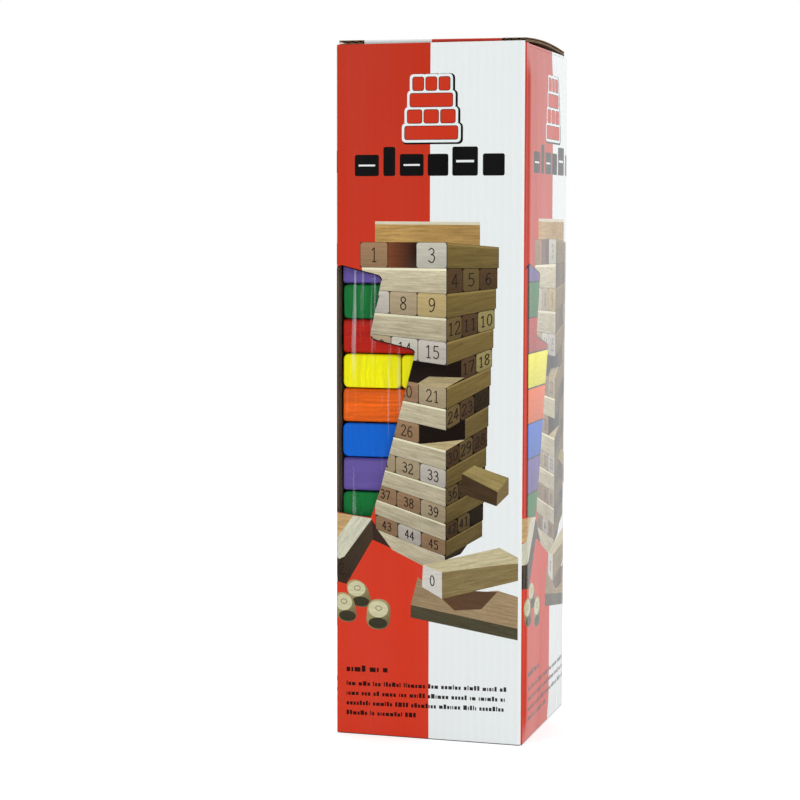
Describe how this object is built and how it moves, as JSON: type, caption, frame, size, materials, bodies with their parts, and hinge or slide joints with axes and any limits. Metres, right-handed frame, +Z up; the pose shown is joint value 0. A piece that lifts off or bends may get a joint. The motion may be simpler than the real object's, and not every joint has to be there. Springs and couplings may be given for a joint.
{
  "type": "boxed tumbling tower game",
  "caption": "Tall square tuck-top carton with a die-cut front window, holding a tower of painted wooden blocks in crossed layers and a colour die.",
  "frame": {"origin": "centre of the carton's base, on the surface it stands on", "axes": "+Z up; the printed front panel with the window faces -Y; +X to the right seen from the front"},
  "size_m": [0.079, 0.079, 0.2855],
  "materials": {
    "printed_board": "thin corrugated board, gloss-laminated print outside, brown kraft inside",
    "paint_green": "satin paint over fine grain",
    "paint_purple": "satin paint over fine grain",
    "paint_blue": "satin paint over fine grain",
    "paint_orange": "satin paint over fine grain",
    "paint_yellow": "satin paint over fine grain",
    "paint_red": "satin paint over fine grain",
    "die_wood": "sanded pale wood with one painted colour on each face"
  },
  "bodies": {
    "carton": {"carton_body": "printed_board"},
    "lid": {"lid": "printed_board"},
    "tuck_flap": {"lid_tuck_flap": "printed_board"},
    "left_dust_flap": {"dust_flap_left": "printed_board"},
    "right_dust_flap": {"dust_flap_right": "printed_board"},
    "block_stack": {"block_01_green": "paint_green", "block_02_green": "paint_green", "block_03_green": "paint_green", "block_04_purple": "paint_purple", "block_05_purple": "paint_purple", "block_06_purple": "paint_purple", "block_07_blue": "paint_blue", "block_08_blue": "paint_blue", "block_09_blue": "paint_blue", "block_10_orange": "paint_orange", "block_11_orange": "paint_orange", "block_12_orange": "paint_orange", "block_13_yellow": "paint_yellow", "block_14_yellow": "paint_yellow", "block_15_yellow": "paint_yellow", "block_16_red": "paint_red", "block_17_red": "paint_red", "block_18_red": "paint_red", "block_19_green": "paint_green", "block_20_green": "paint_green", "block_21_green": "paint_green", "block_22_purple": "paint_purple", "block_23_purple": "paint_purple", "block_24_purple": "paint_purple", "block_25_blue": "paint_blue", "block_26_blue": "paint_blue", "block_27_blue": "paint_blue", "block_28_orange": "paint_orange", "block_29_orange": "paint_orange", "block_30_orange": "paint_orange", "block_31_yellow": "paint_yellow", "block_32_yellow": "paint_yellow", "block_33_yellow": "paint_yellow", "block_34_red": "paint_red", "block_35_red": "paint_red", "block_36_red": "paint_red", "block_37_green": "paint_green", "block_38_green": "paint_green", "block_39_green": "paint_green", "block_40_purple": "paint_purple", "block_41_purple": "paint_purple", "block_42_purple": "paint_purple", "block_43_blue": "paint_blue", "block_44_blue": "paint_blue", "block_45_blue": "paint_blue", "block_46_orange": "paint_orange", "block_47_orange": "paint_orange", "block_48_orange": "paint_orange", "block_49_yellow": "paint_yellow", "block_50_yellow": "paint_yellow", "block_51_yellow": "paint_yellow", "block_52_red": "paint_red", "block_53_red": "paint_red", "block_54_red": "paint_red", "colour_die": "die_wood"}
  },
  "joints": [
    {"name": "lid_hinge", "type": "hinge", "parent": "carton", "child": "lid", "pos_m": [0, 0.03875, 0.28285], "axis": [-1, 0, 0], "range_deg": [0, 180]},
    {"name": "tuck_flap_hinge", "type": "hinge", "parent": "lid", "child": "tuck_flap", "pos_m": [0, -0.03695, 0.28355], "axis": [-1, 0, 0], "range_deg": [0, 36]},
    {"name": "left_dust_flap_hinge", "type": "hinge", "parent": "carton", "child": "left_dust_flap", "pos_m": [-0.03875, 0, 0.28175], "axis": [0, -1, 0], "range_deg": [0, 99]},
    {"name": "right_dust_flap_hinge", "type": "hinge", "parent": "carton", "child": "right_dust_flap", "pos_m": [0.03875, 0, 0.28175], "axis": [0, 1, 0], "range_deg": [0, 99]},
    {"name": "stack_lift", "type": "slide", "parent": "carton", "child": "block_stack", "axis": [0, 0, 1], "range_m": [0, 0.007]}
  ],
  "couplings": [
    {"joint": "tuck_flap_hinge", "follows": "lid_hinge", "ratio": 0.2},
    {"joint": "left_dust_flap_hinge", "follows": "lid_hinge", "ratio": 0.55},
    {"joint": "right_dust_flap_hinge", "follows": "lid_hinge", "ratio": 0.55}
  ]
}
